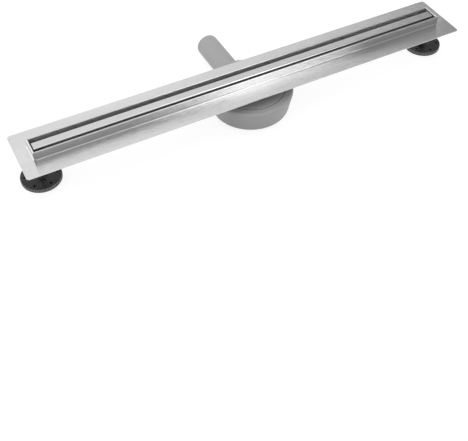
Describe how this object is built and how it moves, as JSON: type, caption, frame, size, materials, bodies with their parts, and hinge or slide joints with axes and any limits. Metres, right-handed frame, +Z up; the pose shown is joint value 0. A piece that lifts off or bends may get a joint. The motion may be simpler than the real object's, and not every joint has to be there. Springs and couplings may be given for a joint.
{
  "type": "linear shower drain",
  "caption": "Long narrow stainless floor drain with a tile flange, central grate bar, swivelling side-outlet siphon and screw feet.",
  "frame": {"origin": "centre of the flange's top plane", "axes": "+X along the channel, +Y along the outlet pipe as delivered, +Z up to the finished floor"},
  "size_m": [1.01, 0.296, 0.0898],
  "materials": {
    "brushed_steel": "brushed along the channel",
    "polished_steel": "fine satin with bright folded edges",
    "bright_steel": "bright rolled",
    "grey_plastic": "moulded mid grey polypropylene",
    "light_grey_plastic": "moulded light grey polypropylene",
    "black_plastic": "moulded black, half gloss",
    "black_rubber": "soft black rubber"
  },
  "bodies": {
    "drain": {"channel_profile": "brushed_steel", "end_plate_left": "brushed_steel", "end_plate_right": "brushed_steel", "grate_bar": "polished_steel", "grate_support_left": "black_plastic", "grate_support_right": "black_plastic", "outlet_gasket": "black_rubber", "siphon_studs": "bright_steel", "siphon_washers": "bright_steel", "siphon_nuts": "bright_steel", "siphon_cover": "grey_plastic", "swivel_seal": "black_rubber", "trap_insert": "light_grey_plastic", "insert_seal": "black_rubber", "foot_sleeve_left": "bright_steel", "foot_lock_nut_left": "bright_steel", "foot_sleeve_right": "bright_steel", "foot_lock_nut_right": "bright_steel"},
    "bowl": {"siphon_bowl": "grey_plastic"},
    "foot_left": {"foot_stem_left": "bright_steel", "foot_pad_left": "black_plastic"},
    "foot_right": {"foot_stem_right": "bright_steel", "foot_pad_right": "black_plastic"}
  },
  "joints": [
    {"name": "bowl_swivel", "type": "hinge", "parent": "drain", "child": "bowl", "pos_m": [0.0035, 0, -0.03], "axis": [0, 0, 1], "continuous": true},
    {"name": "foot_left_height", "type": "slide", "parent": "drain", "child": "foot_left", "axis": [0, 0, -1], "range_m": [0, 0.02]},
    {"name": "foot_right_height", "type": "slide", "parent": "drain", "child": "foot_right", "axis": [0, 0, -1], "range_m": [0, 0.02]}
  ]
}
